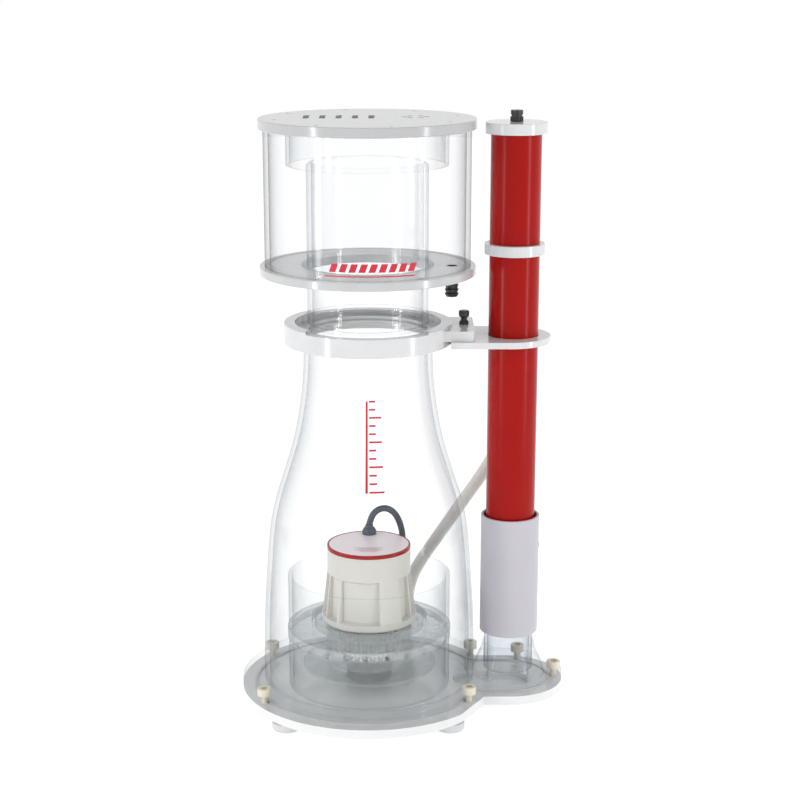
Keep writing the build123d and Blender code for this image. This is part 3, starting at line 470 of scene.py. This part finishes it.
def printed(name, node, body, patches, material):
    """Printed patches on a round wall: each is (left, right, low, high, slant) in metres."""
    radius = (on_surface(node, 0, patches[0][2]) - Vector((BODY, 0, patches[0][2]))).length
    points, faces = [], []
    for left, right, low, high, slant in patches:
        columns = max(2, round((right - left) / (1.5 * MM)) + 1)
        rows = max(2, round((high - low) / (3 * MM)) + 1)
        first = len(points)
        for row in range(rows):
            share = row / (rows - 1)
            height = low + (high - low) * share
            for column in range(columns):
                along = left + (right - left) * column / (columns - 1) + slant * share
                points.append(on_surface(node, along / radius, height))
        for row in range(rows - 1):
            for column in range(columns - 1):
                corner = first + row * columns + column
                faces.append((corner, corner + 1, corner + columns + 1, corner + columns))
    mesh = bpy.data.meshes.new(name)
    mesh.from_pydata(points, [], faces)
    mesh.materials.append(material)
    piece = bpy.data.objects.new(name, mesh)
    bpy.context.scene.collection.objects.link(piece)
    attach(piece, body)
    return piece


def cup_print():
    """A row of slanted dashes over a line, low on the cup's front."""
    low = top("cup_floor") + 9 * MM
    pitch, first, width, tall, slant = 9.5, -36, 6.5 * MM, 8 * MM, 3 * MM
    patches = []
    for step in range(9):
        left = (step * pitch + first) * MM
        patches.append((left, left + width, low, low + tall, slant))
    patches.append((-40 * MM, 48 * MM, low - 4.5 * MM, low - 3.3 * MM, 0))
    return printed("cup_print", "cup_wall", "cup", patches, print_red)


def level_scale():
    """A level scale up the body's front: a bar with long and short ticks."""
    low, tall, pitch = 0.248, 88 * MM, 7.9
    long_tick, short_tick, tick_width = 15 * MM, 8 * MM, 1.8 * MM
    patches = [(-2 * MM, 0.5 * MM, low, low + tall, 0)]
    for step in range(12):
        reach = long_tick if step % 3 == 0 else short_tick
        height = low + step * pitch * MM
        patches.append((2 * MM, 2 * MM + reach, height, height + tick_width, 0))
    return printed("level_scale", "body_shell", "skimmer", patches, print_red)


cup_print()
level_scale()


def rating_marks():
    """Faint printed lines on the motor's round label."""
    height = top("motor_label") + PRINT
    front, pitch, width = -26, 3.4, 1.2
    points, faces = [], []
    for row, reach in enumerate((9, 14, 11, 15)):
        y = (front + row * pitch) * MM
        first = len(points)
        for x, shift in ((-reach, 0), (reach, 0), (reach, width), (-reach, width)):
            points.append((BODY + x * MM, y + shift * MM, height))
        faces.append(tuple(range(first, first + 4)))
    mesh = bpy.data.meshes.new("rating_marks")
    mesh.from_pydata(points, [], faces)
    mesh.materials.append(print_rose)
    piece = bpy.data.objects.new("rating_marks", mesh)
    bpy.context.scene.collection.objects.link(piece)
    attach(piece, "skimmer")


rating_marks()

# ================= studio =================


FLOOR_REACH = 6.0
FLOOR_GLOW = 0.4


def make_floor():
    mesh = bpy.data.meshes.new("floor")
    size = FLOOR_REACH
    mesh.from_pydata(
        [(-size, -size, 0), (size, -size, 0), (size, size, 0), (-size, size, 0)], [], [(0, 1, 2, 3)]
    )
    material, tree, output = new_material("floor")
    shader = tree.nodes.new("ShaderNodeBsdfPrincipled")
    shader.inputs["Base Color"].default_value = (0.93, 0.93, 0.93, 1)
    shader.inputs["Roughness"].default_value = 0.9
    shader.inputs["Specular IOR Level"].default_value = 0.1
    shader.inputs["Emission Color"].default_value = (1, 1, 1, 1)
    shader.inputs["Emission Strength"].default_value = FLOOR_GLOW
    tree.links.new(shader.outputs["BSDF"], output.inputs["Surface"])
    mesh.materials.append(material)
    floor = bpy.data.objects.new("floor", mesh)
    bpy.context.scene.collection.objects.link(floor)


def make_light(name, place, target, width, height, power):
    data = bpy.data.lights.new(name, "AREA")
    data.shape = "RECTANGLE"
    data.size = width
    data.size_y = height
    data.energy = power
    light = bpy.data.objects.new(name, data)
    bpy.context.scene.collection.objects.link(light)
    light.location = place
    aim = Vector(target) - Vector(place)
    light.rotation_euler = aim.to_track_quat("-Z", "Y").to_euler()


def make_world():
    """White all round, dimmer overhead."""
    world = bpy.data.worlds.new("studio")
    world.use_nodes = True
    back = world.node_tree.nodes["Background"]
    back.inputs["Color"].default_value = (1, 1, 1, 1)
    links = world.node_tree.links
    place = world.node_tree.nodes.new("ShaderNodeTexCoord")
    parts = world.node_tree.nodes.new("ShaderNodeSeparateXYZ")
    links.new(place.outputs["Generated"], parts.inputs["Vector"])
    fade = world.node_tree.nodes.new("ShaderNodeMapRange")
    fade.inputs["From Min"].default_value = 0.35
    fade.inputs["From Max"].default_value = 0.85
    fade.inputs["To Min"].default_value = 1.0
    fade.inputs["To Max"].default_value = 0.55
    links.new(parts.outputs["Z"], fade.inputs["Value"])
    links.new(fade.outputs["Result"], back.inputs["Strength"])
    bpy.context.scene.world = world


make_floor()
make_world()
AIM = (0, 0, 0.3)
STRIP = (0.12, 1.4)
make_light("left_strip", (-1.3, -0.9, 0.6), AIM, *STRIP, power=8)
make_light("right_strip", (1.3, -0.7, 0.6), AIM, *STRIP, power=6)
make_light("overhead", (0, -0.3, 1.9), AIM, 1.2, 1.0, power=1)
bpy.context.scene.view_settings.view_transform = "Standard"
bpy.context.scene.view_settings.look = "None"
bpy.context.scene.cycles.transparent_max_bounces = 48  # many clear walls stand one behind another
